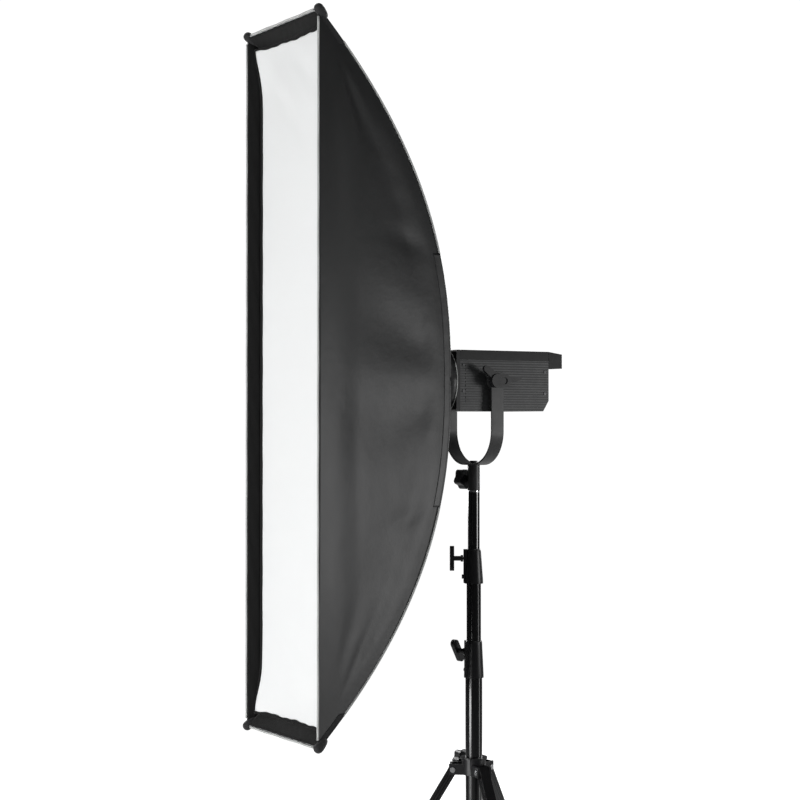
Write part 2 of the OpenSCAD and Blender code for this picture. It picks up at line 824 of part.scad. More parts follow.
side_panel_right();
side_panel_left();
end_panel_top();
end_panel_bottom();
rim_band();
edge_piping();
corner_pockets();
support_rods();
outer_diffuser();
inner_baffle();
baffle_straps();
speed_ring();
rear_collar();
bayonet_plate();
bayonet_socket();
release_lever();
lamp_housing();
top_cover();
rear_grip();
front_bezel();
led_module();
reflector_cup();
glass_cover();
heatsink();
fan_rotor();
driver_board();
rear_panel();
display_window();
dimmer_knob();
mode_button();
power_switch();
power_inlet();
housing_screws();
pivot_bosses();
tilt_lever();
yoke_bracket();
yoke_bolt();
spigot_receiver();
receiver_knob();
stand_spigot();
upper_tube();
upper_collar();
upper_knob();
middle_tube();
lower_collar();
lower_knob();
base_tube();
lower_spider();
tripod_collar();
collar_rivets();
collar_knob();
leg(0);  // leg_1
leg(1);  // leg_2
leg(2);  // leg_3
foot(0);  // foot_1
foot(1);  // foot_2
foot(2);  // foot_3
brace(0);  // brace_1
brace(1);  // brace_2
brace(2);  // brace_3
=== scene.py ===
"""Looks for the strip softbox, its lamp head, yoke and light stand."""
import json
import math

import bmesh
import bpy
import numpy as np
from mathutils import Matrix, Vector

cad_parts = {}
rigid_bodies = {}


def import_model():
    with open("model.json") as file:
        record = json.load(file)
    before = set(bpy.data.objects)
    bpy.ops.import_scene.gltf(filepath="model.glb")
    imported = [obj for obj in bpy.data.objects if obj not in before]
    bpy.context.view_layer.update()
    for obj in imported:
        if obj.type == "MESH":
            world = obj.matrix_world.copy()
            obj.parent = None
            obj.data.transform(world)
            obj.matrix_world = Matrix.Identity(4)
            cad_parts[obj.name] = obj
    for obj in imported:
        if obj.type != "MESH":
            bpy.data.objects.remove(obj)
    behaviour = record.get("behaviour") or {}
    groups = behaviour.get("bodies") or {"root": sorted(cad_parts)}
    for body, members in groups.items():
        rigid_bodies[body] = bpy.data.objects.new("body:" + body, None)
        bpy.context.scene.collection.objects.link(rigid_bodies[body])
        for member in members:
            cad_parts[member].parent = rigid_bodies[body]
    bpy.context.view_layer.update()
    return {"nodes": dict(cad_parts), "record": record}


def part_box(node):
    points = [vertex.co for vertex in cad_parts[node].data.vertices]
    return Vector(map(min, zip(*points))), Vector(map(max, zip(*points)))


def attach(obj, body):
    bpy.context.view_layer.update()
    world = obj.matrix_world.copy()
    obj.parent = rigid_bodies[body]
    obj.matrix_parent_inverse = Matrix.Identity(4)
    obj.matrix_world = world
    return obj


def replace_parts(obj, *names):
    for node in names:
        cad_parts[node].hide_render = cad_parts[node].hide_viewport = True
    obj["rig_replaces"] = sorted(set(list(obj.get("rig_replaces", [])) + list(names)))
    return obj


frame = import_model()
nodes = frame["nodes"]

MM = 0.001

# ---------------------------------------------------------------- sizes, read from the frame
side_low, side_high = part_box("side_panel_right")
FRONT_Y = side_low.y
REAR_Y = side_high.y
HALF_W = side_high.x
AXIS_Z = (side_low.z + side_high.z) / 2
HALF_H = (side_high.z - side_low.z) / 2
REAR_HALF_W = 74 * MM
ROD_CURVE = 2.4
REACH = REAR_Y - FRONT_Y
OPENING_R = 76 * MM
collar_low, collar_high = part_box("rear_collar")
diffuser_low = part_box("outer_diffuser")[0]

# Heights on the seams, from the middle
FLAP_END = 255 * MM
SEAM_PIPING_END = 645 * MM
TAPE_START = 640 * MM
TAPE_END = 699 * MM

# Thicknesses, radii and gaps
PANEL_T = 0.7 * MM
FRONT_CLOTH_T = 0.5 * MM
SEAM_PIPING_R = 2.0 * MM
EDGE_PIPING_R = 2.2 * MM
OPENING_PIPING_AT = 0.0785
RIM_INSET = 2.4 * MM
ROD_GAP = 9.5 * MM
ROD_DRAW_BACK = 26 * MM
ROD_DRAW_IN = 38 * MM
LEAD_DEPTH = 13 * MM
LEAD_RANGE = 0.06

# Bands in a metre of a Wave texture whose scale is 1
WAVE_BANDS = 3.18

CORNERS = [(side, up) for side in (1, -1) for up in (1, -1)]


# ---------------------------------------------------------------- camera, lights, floor
def look(azimuth, pitch):
    """A camera's rotation: azimuth 0 looks along +Y, pitch is above the horizon."""
    turn = Matrix.Rotation(math.radians(azimuth), 4, "Z")
    return (turn @ Matrix.Rotation(math.radians(90 + pitch), 4, "X")).to_euler()


def add_camera():
    data = bpy.data.cameras.new("camera")
    data.lens = 80.6
    data.sensor_width = 36
    data.clip_end = 60
    camera = bpy.data.objects.new("camera", data)
    bpy.context.scene.collection.objects.link(camera)
    camera.location = (3.116, -2.084, 1.516)
    camera.rotation_euler = look(58.58, 0.7)
    bpy.context.scene.camera = camera


def add_light(name, place, target, size, power):
    """A rectangular lamp at place that faces target."""
    data = bpy.data.lights.new(name, "AREA")
    data.shape = "RECTANGLE"
    data.size, data.size_y = size
    data.energy = power
    light = bpy.data.objects.new(name, data)
    bpy.context.scene.collection.objects.link(light)
    light.location = place
    light.rotation_euler = (Vector(target) - Vector(place)).to_track_quat("-Z", "Y").to_euler()


def seen_only(tree, seen, unseen, socket):
    """A value that is one thing to the camera and another to the light that falls on the object."""
    ray = tree.nodes.new("ShaderNodeLightPath")
    share = tree.nodes.new("ShaderNodeMath")
    share.operation = "MULTIPLY_ADD"
    share.inputs[1].default_value = seen - unseen
    share.inputs[2].default_value = unseen
    tree.links.new(ray.outputs["Is Camera Ray"], share.inputs[0])
    tree.links.new(share.outputs[0], socket)


def add_floor():
    mesh = bpy.data.meshes.new("floor")
    reach = 30
    corners = [(x * reach, y * reach, 0) for x, y in ((-1, -1), (1, -1), (1, 1), (-1, 1))]
    mesh.from_pydata(corners, [], [(0, 1, 2, 3)])
    floor = bpy.data.objects.new("floor", mesh)
    bpy.context.scene.collection.objects.link(floor)
    material = bpy.data.materials.new("floor")
    material.use_nodes = True
    shader = material.node_tree.nodes["Principled BSDF"]
    shader.inputs["Base Color"].default_value = (0.5, 0.5, 0.5, 1)
    shader.inputs["Roughness"].default_value = 0.75
    shader.inputs["Emission Color"].default_value = (1, 1, 1, 1)
    seen_only(material.node_tree, 1.0, 0.0, shader.inputs["Emission Strength"])
    mesh.materials.append(material)


def add_world():
    world = bpy.data.worlds.new("studio")
    bpy.context.scene.world = world
    bpy.context.scene.view_settings.view_transform = "Standard"
    world.use_nodes = True
    back = world.node_tree.nodes["Background"]
    back.inputs["Color"].default_value = (1, 1, 1, 1)
    seen_only(world.node_tree, 1.05, 0.05, back.inputs["Strength"])


add_camera()
add_world()
add_floor()
add_light("key", (0.5, -4.2, 1.0), (0, -0.3, 1.4), (2.2, 1.8), 150)
add_light("side", (1.72, 1.55, 1.32), (0.1, -0.2, 1.3), (0.8, 0.55), 13)
add_light("tubes", (2.1, 2.4, 0.4), (0, 0, 0.9), (0.5, 0.9), 5)
add_light("head", (1.9, -0.2, 2.7), (0, 0.1, 1.6), (0.5, 0.5), 6)
add_light("back", (-1.4, 3.8, 2.6), (0, 0, 1.4), (2, 2), 190)
add_light("left", (-4.0, 0.4, 2.2), (0, 0, 1.3), (1.8, 2.2), 120)


# ---------------------------------------------------------------- materials
class Look:
    """A procedural material: a Principled shader with helpers for colour variation and bump."""

    def __init__(self, name, color, roughness, metallic=0.0, **sockets):
        self.material = bpy.data.materials.new(name)
        self.material.use_nodes = True
        self.tree = self.material.node_tree
        self.shader = self.tree.nodes["Principled BSDF"]
        self.color = color
        self.set("Base Color", (*color, 1))
        self.set("Roughness", roughness)
        self.set("Metallic", metallic)
        for key, value in sockets.items():
            self.set(key.replace("_", " ").title().replace("Ior", "IOR"), value)
        self.height = None

    def set(self, socket, value):
        self.shader.inputs[socket].default_value = value

    def add(self, kind, **values):
        node = self.tree.nodes.new(kind)
        for key, value in values.items():
            if key in node.inputs:
                node.inputs[key].default_value = value
            else:
                setattr(node, key, value)
        return node

    def link(self, a, b):
        self.tree.links.new(a, b)

    def place(self, scale=(1, 1, 1), turn=(0, 0, 0)):
        """Object coordinates, stretched and turned."""
        coords = self.add("ShaderNodeTexCoord")
        mapping = self.add("ShaderNodeMapping")
        mapping.inputs["Scale"].default_value = scale
        mapping.inputs["Rotation"].default_value = turn
        self.link(coords.outputs["Object"], mapping.inputs["Vector"])
        return mapping.outputs["Vector"]

    def noise(self, scale, detail=3.0, rough=0.55, stretch=(1, 1, 1)):
        node = self.add("ShaderNodeTexNoise", Scale=scale, Detail=detail, Roughness=rough)
        self.link(self.place(stretch), node.inputs["Vector"])
        return node.outputs["Fac"]

    def wave(self, scale, direction, distortion=0.0):
        node = self.add("ShaderNodeTexWave", wave_type="BANDS", bands_direction=direction)
        node.inputs["Scale"].default_value = scale
        node.inputs["Distortion"].default_value = distortion
        self.link(self.place(), node.inputs["Vector"])
        return node.outputs["Fac"]

    def spread(self, fac, low, high):
        node = self.add("ShaderNodeMapRange")
        node.inputs["To Min"].default_value = low
        node.inputs["To Max"].default_value = high
        self.link(fac, node.inputs["Value"])
        return node.outputs["Result"]

    def vary_color(self, fac, amount):
        """Mixes between the base colour made darker and lighter by amount."""
        ramp = self.add("ShaderNodeMix", data_type="RGBA")
        low = [c * (1 - amount) for c in self.color]
        high = [min(1, c * (1 + amount)) for c in self.color]
        ramp.inputs[6].default_value = (*low, 1)
        ramp.inputs[7].default_value = (*high, 1)
        self.link(fac, ramp.inputs[0])
        self.link(ramp.outputs[2], self.shader.inputs["Base Color"])

    def vary_roughness(self, fac, low, high):
        self.link(self.spread(fac, low, high), self.shader.inputs["Roughness"])

    def bump(self, fac, distance, strength=1.0):
        node = self.add("ShaderNodeBump")
        node.inputs["Distance"].default_value = distance
        node.inputs["Strength"].default_value = strength
        self.link(fac, node.inputs["Height"])
        if self.height is not None:
            self.link(self.height, node.inputs["Normal"])
        self.height = node.outputs["Normal"]
        self.link(self.height, self.shader.inputs["Normal"])

    def weave(self, thread, depth):
        """Crossed threads: two sets of bands multiplied, thread is their spacing in metres."""
        turns = 1 / thread / WAVE_BANDS
        across = self.wave(turns, "Z", 0.3)
        along = self.add("ShaderNodeMath", operation="ADD")
        self.link(self.wave(turns, "Y", 0.3), along.inputs[0])
        self.link(self.wave(turns, "X", 0.3), along.inputs[1])
        crossed = self.add("ShaderNodeMath", operation="MULTIPLY")
        self.link(across, crossed.inputs[0])
        self.link(along.outputs[0], crossed.inputs[1])
        self.bump(crossed.outputs[0], depth, 0.6)
        return crossed.outputs[0]

    def edge_wear(self, color, amount):
        """Lightens the convex edges a little, as handling does."""
        geometry = self.add("ShaderNodeNewGeometry")
        ramp = self.add("ShaderNodeMapRange")
        ramp.inputs["From Min"].default_value = 0.53
        ramp.inputs["From Max"].default_value = 0.66
        ramp.inputs["To Max"].default_value = amount
        self.link(geometry.outputs["Pointiness"], ramp.inputs["Value"])
        mix = self.add("ShaderNodeMix", data_type="RGBA")
        old = self.shader.inputs["Base Color"].links
        if old:
            self.link(old[0].from_socket, mix.inputs[6])
        else:
            mix.inputs[6].default_value = (*self.color, 1)
        mix.inputs[7].default_value = (*color, 1)
        self.link(ramp.outputs[0], mix.inputs[0])
        self.link(mix.outputs[2], self.shader.inputs["Base Color"])


def nylon(name, color, roughness, sheen):
    look = Look(name, color, roughness, sheen_weight=sheen, sheen_roughness=0.4)
    look.vary_color(look.noise(5, 4), 0.18)
    look.vary_roughness(look.noise(9, 5, stretch=(1, 1, 0.5)), roughness - 0.06, roughness + 0.08)
    look.bump(look.noise(38, 5, 0.6), 0.0009, 0.5)
    look.weave(0.0006, 0.000012)
    return look.material


def tape(name, color):
    look = Look(name, color, 0.85, sheen_weight=0.06, sheen_roughness=0.5, specular_ior_level=0.25)
    look.vary_color(look.noise(900, 2), 0.35)
    look.bump(look.noise(1400, 3), 0.0006, 0.8)
    return look.material


def webbing(name, color):
    look = Look(name, color, 0.7, sheen_weight=0.25, sheen_roughness=0.4)
    look.vary_color(look.weave(0.0016, 0.0004), 0.25)
    return look.material


def diffuser_cloth(name, color):
    look = Look(name, color, 0.8, sheen_weight=0.15, sheen_roughness=0.5, transmission_weight=0.0)
    look.vary_color(look.noise(3.5, 3), 0.02)
    look.bump(look.noise(14, 4, 0.55, (1, 1, 0.6)), 0.0015, 0.35)
    look.weave(0.0005, 0.00001)
    return look.material


def silver_lining(name):
    look = Look(name, (0.72, 0.73, 0.74), 0.35, 0.8)
    look.vary_color(look.noise(30, 4), 0.12)
    look.bump(look.noise(160, 4, 0.7), 0.0008, 0.7)
    look.weave(0.0009, 0.0002)
    return look.material


def painted(name, color, roughness, grain=0.0, wear=0.25, ribs=0.0, **sockets):
    look = Look(name, color, roughness, **sockets)
    look.vary_color(look.noise(24, 3), 0.10)
    look.vary_roughness(look.noise(60, 4), roughness - 0.04, roughness + 0.06)
    if grain:
        look.bump(look.noise(2600, 2), grain, 0.5)
    if ribs:
        look.bump(look.wave(1 / ribs / WAVE_BANDS, "Z", 0.0), 0.00025, 0.5)
    look.edge_wear([min(1, c * 2.4 + 0.02) for c in color], wear)
    return look.material


def moulded(name, color, roughness, grain=0.00003):
    look = Look(name, color, roughness, specular_ior_level=0.35)
    look.vary_color(look.noise(40, 3), 0.12)
    look.vary_roughness(look.noise(80, 3), roughness - 0.05, roughness + 0.05)
    look.bump(look.noise(3200, 2), grain, 0.6)
    look.edge_wear([min(1, c * 2 + 0.015) for c in color], 0.2)
    return look.material


def bare_metal(name, color, roughness, brushed=(1, 1, 1)):
    look = Look(name, color, roughness, 1.0)
    look.vary_color(look.noise(50, 3), 0.08)
    look.vary_roughness(look.noise(400, 3, 0.6, brushed), roughness - 0.07, roughness + 0.1)
    look.bump(look.noise(700, 2, 0.6, brushed), 0.00004, 0.4)
    return look.material


def clear_glass(name):
    look = Look(name, (0.95, 0.97, 0.98), 0.03, transmission_weight=0.9)
    look.vary_roughness(look.noise(20, 3), 0.02, 0.06)
    return look.material


def led_face(name, color):
    look = Look(name, color, 0.3)
    dots = look.add("ShaderNodeTexVoronoi", Scale=700.0)
    look.link(look.place(), dots.inputs["Vector"])
    look.vary_color(dots.outputs["Distance"], 0.25)
    look.bump(dots.outputs["Distance"], 0.0003, 0.5)
    return look.material


def board(name, color):
    look = Look(name, color, 0.35)
    bricks = look.add("ShaderNodeTexBrick", Scale=180.0)
    look.link(look.place(), bricks.inputs["Vector"])
    look.vary_color(bricks.outputs["Fac"], 0.3)
    return look.material


finishes = {
    "black_nylon": nylon("black_nylon", (0.012, 0.0125, 0.013), 0.41, 0.0),
    "rim_band": tape("rim_band", (0.006, 0.006, 0.006)),
    "piping": webbing("piping", (0.55, 0.56, 0.55)),
    "pocket_fabric": webbing("pocket_fabric", (0.010, 0.010, 0.011)),
    "white_diffuser": diffuser_cloth("white_diffuser", (0.83, 0.84, 0.84)),
    "elastic": webbing("elastic", (0.02, 0.02, 0.02)),
    "rod_steel": bare_metal("rod_steel", (0.55, 0.56, 0.57), 0.3, (1, 1, 0.1)),
    "ring_metal": painted("ring_metal", (0.03, 0.03, 0.031), 0.4, 0.00003),
    "bayonet_steel": bare_metal("bayonet_steel", (0.6, 0.61, 0.62), 0.25),
    "housing_paint": painted("housing_paint", (0.020, 0.021, 0.022), 0.44, 0.00003, ribs=0.0052),
    "cover_plastic": moulded("cover_plastic", (0.006, 0.006, 0.0065), 0.5),
    "trim_plastic": moulded("trim_plastic", (0.007, 0.007, 0.008), 0.45),
    "led_chip": led_face("led_chip", (0.85, 0.62, 0.12)),
    "reflector": bare_metal("reflector", (0.86, 0.86, 0.87), 0.14),
    "cover_glass": clear_glass("cover_glass"),
    "bare_aluminium": bare_metal("bare_aluminium", (0.58, 0.59, 0.6), 0.35, (1, 0.1, 1)),
    "circuit_board": board("circuit_board", (0.03, 0.16, 0.07)),
    "display": painted("display", (0.012, 0.018, 0.022), 0.12, wear=0.0),
    "knob_plastic": moulded("knob_plastic", (0.008, 0.008, 0.009), 0.38),
    "button_plastic": moulded("button_plastic", (0.05, 0.05, 0.052), 0.45),
    "switch_plastic": moulded("switch_plastic", (0.35, 0.015, 0.01), 0.3, 0.00003),
    "screw_steel": bare_metal("screw_steel", (0.06, 0.06, 0.062), 0.35),
    "yoke_paint": painted("yoke_paint", (0.022, 0.0225, 0.023), 0.40, 0.00003),
    "stud_steel": bare_metal("stud_steel", (0.78, 0.79, 0.8), 0.16),
    "tube_paint": painted(
        "tube_paint", (0.004, 0.004, 0.0045), 0.16, coat_weight=0.3, coat_roughness=0.08
    ),
    "collar_plastic": moulded("collar_plastic", (0.008, 0.008, 0.009), 0.34),
    "rivet_steel": bare_metal("rivet_steel", (0.75, 0.76, 0.77), 0.2),
    "foot_rubber": moulded("foot_rubber", (0.015, 0.015, 0.015), 0.75, 0.00006),
    "silver_lining": silver_lining("silver_lining"),
}
slot_of = {row["node"]: row["material_slot"] for row in frame["record"]["subparts"]}


# ---------------------------------------------------------------- mesh helpers
def finish_node(name, bevel=0.0006, angle=30):
    """Gives a CAD node that stays its material, softened edges and smooth round faces."""
    piece = nodes[name]
    mesh = piece.data
    if "custom_normal" in mesh.attributes:
        mesh.attributes.remove(mesh.attributes["custom_normal"])
    for polygon in mesh.polygons:
        polygon.use_smooth = True
    mesh.materials.clear()
    mesh.materials.append(finishes[slot_of[name]])
    weld = piece.modifiers.new("weld", "WELD")
    weld.merge_threshold = 1e-5
    if bevel:
        round_off = piece.modifiers.new("bevel", "BEVEL")
        round_off.width = bevel
        round_off.segments = 2
        round_off.limit_method = "ANGLE"
        round_off.angle_limit = math.radians(angle)
        round_off.harden_normals = False
    weighted = piece.modifiers.new("weighted", "WEIGHTED_NORMAL")
    weighted.keep_sharp = True
    mesh.set_sharp_from_angle(angle=math.radians(angle))


def new_piece(name, mesh_or_bm, materials, body):
    """Links a mesh as a smooth piece that rides on a body."""
    if isinstance(mesh_or_bm, bmesh.types.BMesh):
        mesh = bpy.data.meshes.new(name)
        mesh_or_bm.to_mesh(mesh)
        mesh_or_bm.free()
    else:
        mesh = mesh_or_bm
    mesh.name = name
    for polygon in mesh.polygons:
        polygon.use_smooth = True
    for material in materials:
        mesh.materials.append(finishes[material])
    piece = bpy.data.objects.new(name, mesh)
    bpy.context.scene.collection.objects.link(piece)
    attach(piece, body)
    return piece


def softbox_piece(name, mesh, slot):
    """A piece of one material that rides on the softbox."""
    return new_piece(name, mesh, [slot], "softbox")


def grid_mesh(name, points, closed=False):
    """A quad mesh over points[row, column]; closed joins the last column to the first."""
    rows, columns = points.shape[:2]
    last = columns if closed else columns - 1
    faces = []
    for low in range(0, (rows - 1) * columns, columns):
        high = low + columns
        for c in range(last):
            after = (c + 1) % columns
            faces.append((low + c, low + after, high + after, high + c))
    mesh = bpy.data.meshes.new(name)
    mesh.from_pydata([tuple(p) for p in points.reshape(-1, 3)], [], faces)
    mesh.validate()
    return mesh


def thicken(piece, thickness, offset=-1.0, inner=0):
    """Cloth thickness; inner is how many slots on the other face's material is."""
    solid = piece.modifiers.new("thickness", "SOLIDIFY")
    solid.thickness = thickness
    solid.offset = offset
    solid.material_offset = inner
    solid.material_offset_rim = 0
    apply_modifiers(piece)


def apply_modifiers(piece):
    """Turns the piece's modifiers into its mesh."""
    graph = bpy.context.evaluated_depsgraph_get()
    mesh = bpy.data.meshes.new_from_object(piece.evaluated_get(graph), depsgraph=graph)
    piece.modifiers.clear()
    piece.data = mesh


def sweep(name, path, radius, sides=12, closed=False, squash=(1, 1)):
    """A round bar along a path, capped unless closed. radius may be a list, one for each point."""
    path = [Vector(p) for p in path]
    count = len(path)
    radii = radius if hasattr(radius, "__len__") else [radius] * count
    bm = bmesh.new()
    rings = []
    side = None
    for i, point in enumerate(path):
        before = path[(i - 1) % count] if closed or i else path[0]
        after = path[(i + 1) % count] if closed or i < count - 1 else path[-1]
        along = (after - before).normalized()
        if side is None:
            side = along.orthogonal().normalized()
        side = (side - along * side.dot(along)).normalized()
        up = along.cross(side)
        ring = []
        for k in range(sides):
            a = 2 * math.pi * k / sides
            spoke = side * math.cos(a) * squash[0] + up * math.sin(a) * squash[1]
            ring.append(bm.verts.new(point + radii[i] * spoke))
        rings.append(ring)
    pairs = list(zip(rings, rings[1:])) + ([(rings[-1], rings[0])] if closed else [])
    for low, high in pairs:
        for k in range(sides):
            bm.faces.new((low[k], low[(k + 1) % sides], high[(k + 1) % sides], high[k]))
    if not closed:
        bm.faces.new(list(reversed(rings[0])))
        bm.faces.new(rings[-1])
    bmesh.ops.recalc_face_normals(bm, faces=bm.faces)
    mesh = bpy.data.meshes.new(name)
    bm.to_mesh(mesh)
    bm.free()
    return mesh


def join(name, meshes):
    """One mesh out of several."""
    bm = bmesh.new()
    for mesh in meshes:
        bm.from_mesh(mesh)
        bpy.data.meshes.remove(mesh)
    mesh = bpy.data.meshes.new(name)
    bm.to_mesh(mesh)
    bm.free()
    return mesh


# ---------------------------------------------------------------- the softbox's form
def seam_y(z):
    return REAR_Y - REACH * (np.abs(z) / HALF_H) ** ROD_CURVE


def seam_slope(z):
    return REACH * ROD_CURVE / HALF_H * (np.abs(z) / HALF_H) ** (ROD_CURVE - 1)


def seam_normal(z):
    """Outward normal of the rear surface, as Y and Z parts."""
    slope = seam_slope(z)
    length = np.sqrt(1 + slope**2)
    return 1 / length, np.sign(z) * slope / length


def half_width(y):
    return REAR_HALF_W + (HALF_W - REAR_HALF_W) * (REAR_Y - y) / REACH


SIDE_ANGLE = math.atan2(HALF_W - REAR_HALF_W, REACH)
SIDE_NORMAL = np.array([math.cos(SIDE_ANGLE), math.sin(SIDE_ANGLE), 0])


def ease(a, b, x):
    """0 before a, 1 after b, smooth between."""
    t = np.clip((x - a) / (b - a), 0, 1)
    return t * t * (3 - 2 * t)


def ridges(along, across, period, seed):
    """Soft wrinkles: bands across one direction whose strength wanders along the other."""
    rng = np.random.RandomState(seed)
    total = np.zeros_like(along)
    for _ in range(5):
        wave = period * rng.uniform(0.7, 1.5)
        drift = rng.uniform(0.6, 1.4) * 0.25
        shift = rng.uniform(0, 6.28)
        strength = 0.5 + 0.5 * np.sin(along / drift + rng.uniform(0, 6.28))
        bent = across + 0.1 * np.sin(along * 5 + shift) * period
        total += strength * np.sin(2 * np.pi * bent / wave + shift)
    return total / 5


def side_points(side):
    """The side panel's cloth, rows up the height, columns from the front edge to the seam."""
    rows, columns = 181, 49
    crowding = 0.995
    z = HALF_H * np.sin(np.linspace(-1, 1, rows) * math.pi / 2 * crowding)
    z = z / math.sin(math.pi / 2 * crowding)
    z = 0.55 * z + 0.45 * np.linspace(-HALF_H, HALF_H, rows)
    t = np.linspace(0, 1, columns)
    zz, tt = np.meshgrid(z, t, indexing="ij")
    back = seam_y(zz)
    y = FRONT_Y + (back - FRONT_Y) * tt
    x = half_width(y)
    width = back - FRONT_Y
    middle = 4 * tt * (1 - tt)
    hollow = -7 * MM * middle * (width / REACH) ** 1.2
    up = np.abs(zz)
    near_front = np.exp(-((tt * width) / 0.05) ** 2)
    near_seam = np.exp(-(((1 - tt) * width) / 0.06) ** 2)
    puckers = ridges(tt * width, zz, 0.075, 3 + side) * (0.9 * near_front + 1.3 * near_seam) * MM
    angle = np.arctan2(zz, REAR_Y + 0.1 - y)
    from_ring = np.hypot(zz, REAR_Y - y)
    pulls = np.sin(angle * 9 + 1.3 * side) * np.exp(-((from_ring - 0.16) / 0.16) ** 2) * 1.7 * MM
    corner = np.hypot(up - HALF_H, y - FRONT_Y)
    corner_angle = np.arctan2(HALF_H - up, y - FRONT_Y)
    near_corner = np.exp(-((corner - 0.14) / 0.12) ** 2)
    corner_pulls = np.sin(corner_angle * 26 + zz * 4) * near_corner * 1.3 * MM
    past_flap = up - FLAP_END - 0.25 * (1 - tt) * width
    crease = -2.6 * MM * np.exp(-(past_flap / 0.022) ** 2) * ease(0.45, 0.95, tt)
    broad = ridges(zz, y, 0.34, 17 + side) * 2.2 * MM * middle
    pinned = ease(0.028, 0.11, tt * width) * ease(0.018, 0.08, (1 - tt) * width)
    pinned = pinned * ease(0, 0.02, HALF_H - up)
    push = (hollow + pulls + corner_pulls + crease + broad + puckers) * pinned
    points = np.stack([x + push * SIDE_NORMAL[0], y + push * SIDE_NORMAL[1], AXIS_Z + zz], axis=2)
    points[:, :, 0] *= side
    return points


def end_points(side):
    """The end panel's cloth between two rods, rows from the rear opening to the front edge."""
    rows, columns = 121, 41
    s = np.linspace(0, 1, rows)
    u = np.linspace(-1, 1, columns)
    ss, uu = np.meshgrid(s, u, indexing="ij")
    start = np.sqrt(np.maximum(OPENING_R**2 - (uu * REAR_HALF_W) ** 2, (4 * MM) ** 2))
    z = start + (HALF_H - start) * ss
    y = seam_y(z)
    x = uu * half_width(y)
    middle = 1 - uu**2
    span = ease(0, 0.3, ss) * ease(0.03, 0.2, 1 - ss)
    sag = -9 * MM * middle * span
    held = np.minimum(1, 8 * (1 - np.abs(uu)))
    folds = ridges(x, z, 0.06, 31 + side) * MM * 1.3 * (0.3 + 0.7 * uu**2) * held
    push = sag + folds * span
    normal_y, normal_z = seam_normal(z)
    points = np.stack([x, y + push * normal_y, AXIS_Z + side * (z + push * normal_z)], axis=2)
    return points


def lined_cloth(name, mesh):
    """A panel in place of the CAD node of that name, black outside and silver inside."""
    materials = ["black_nylon", "silver_lining"]
    piece = new_piece(name + "_cloth", mesh, materials, "softbox")
    thicken(piece, PANEL_T, -1, 1)
    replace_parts(piece, name)
    return piece


def add_side_cloths():
    for side, name in ((1, "side_panel_right"), (-1, "side_panel_left")):
        points = side_points(side)
        mesh = grid_mesh(name + "_cloth", points if side > 0 else points[:, ::-1])
        piece = lined_cloth(name, mesh)


def add_end_cloths():
    for side, name in ((1, "end_panel_top"), (-1, "end_panel_bottom")):
        points = end_points(side)
        mesh = grid_mesh(name + "_cloth", points if side < 0 else points[:, ::-1])
        piece = lined_cloth(name, mesh)


add_side_cloths()
add_end_cloths()


def seam_frame(height):
    """The seam's point at a height, and the outward normal of the end panel there."""
    y = float(seam_y(height))
    ny, nz = (float(v) for v in seam_normal(height))
    return np.array([float(half_width(y)), y, float(height)]), np.array([0, ny, nz])


def corner_strip(name, side, z, front_width, rear_width, lift, slot):
    """A strip folded over a seam along the heights z. rear_width gives its width by height."""
    rows = []
    corner_steps = np.linspace(0, 1, 5)
    for height in z:
        corner, rear_normal = seam_frame(height)
        to_front = np.array([math.sin(SIDE_ANGLE), -math.cos(SIDE_ANGLE), 0])
        wave = 0.5 * MM * math.sin(height * 62 + side) + 0.3 * MM * math.sin(height * 143)
        row = []
        room = (corner[1] - FRONT_Y) / math.cos(SIDE_ANGLE) + 1.0 * MM
        for step in np.linspace(1, 0, 9)[:-1]:
            rise = lift * (1 - 0.9 * step**0.7) + wave * step * 0.3
            row.append(corner + to_front * min(front_width, room) * step + SIDE_NORMAL * rise)
        for turn in corner_steps:
            normal = SIDE_NORMAL * (1 - turn) + rear_normal * turn
            row.append(corner + normal / np.linalg.norm(normal) * lift * 1.15)
        width = rear_width(height)
        for step in np.linspace(0, 1, 8)[1:]:
            rise = lift * (1 - 0.6 * step) + wave * 0.5 * step
            row.append(corner + np.array([-1, 0, 0]) * width * step + rear_normal * rise)
        rows.append(row)
    points = np.array(rows)
    points[:, :, 2] += AXIS_Z
    points[:, :, 0] *= side
    mesh = grid_mesh(name, points if side < 0 else points[:, ::-1])
    piece = softbox_piece(name, mesh, slot)
    thicken(piece, 0.6 * MM, 1)
    return piece


def flap_rear_width(z):
    """The flap narrows beside the rear opening."""
    inside = OPENING_R**2 - z**2
    free = REAR_HALF_W - math.sqrt(inside) - 2 * MM if inside > 0 else 1
    return min(24 * MM, max(free, 0.8 * MM))


def add_flaps():
    heights = np.linspace(-FLAP_END, FLAP_END, 121)
    for side, name in ((1, "flap_right"), (-1, "flap_left")):
        corner_strip(name, side, heights, 17 * MM, flap_rear_width, 2.2 * MM, "black_nylon")


def seam_path(side, z0, z1, count, lift):
    path = []
    for height in np.linspace(z0, z1, count):
        corner, rear_normal = seam_frame(height)
        normal = SIDE_NORMAL + rear_normal
        point = corner + normal / np.linalg.norm(normal) * lift
        path.append((side * point[0], point[1], AXIS_Z + point[2]))
    return path


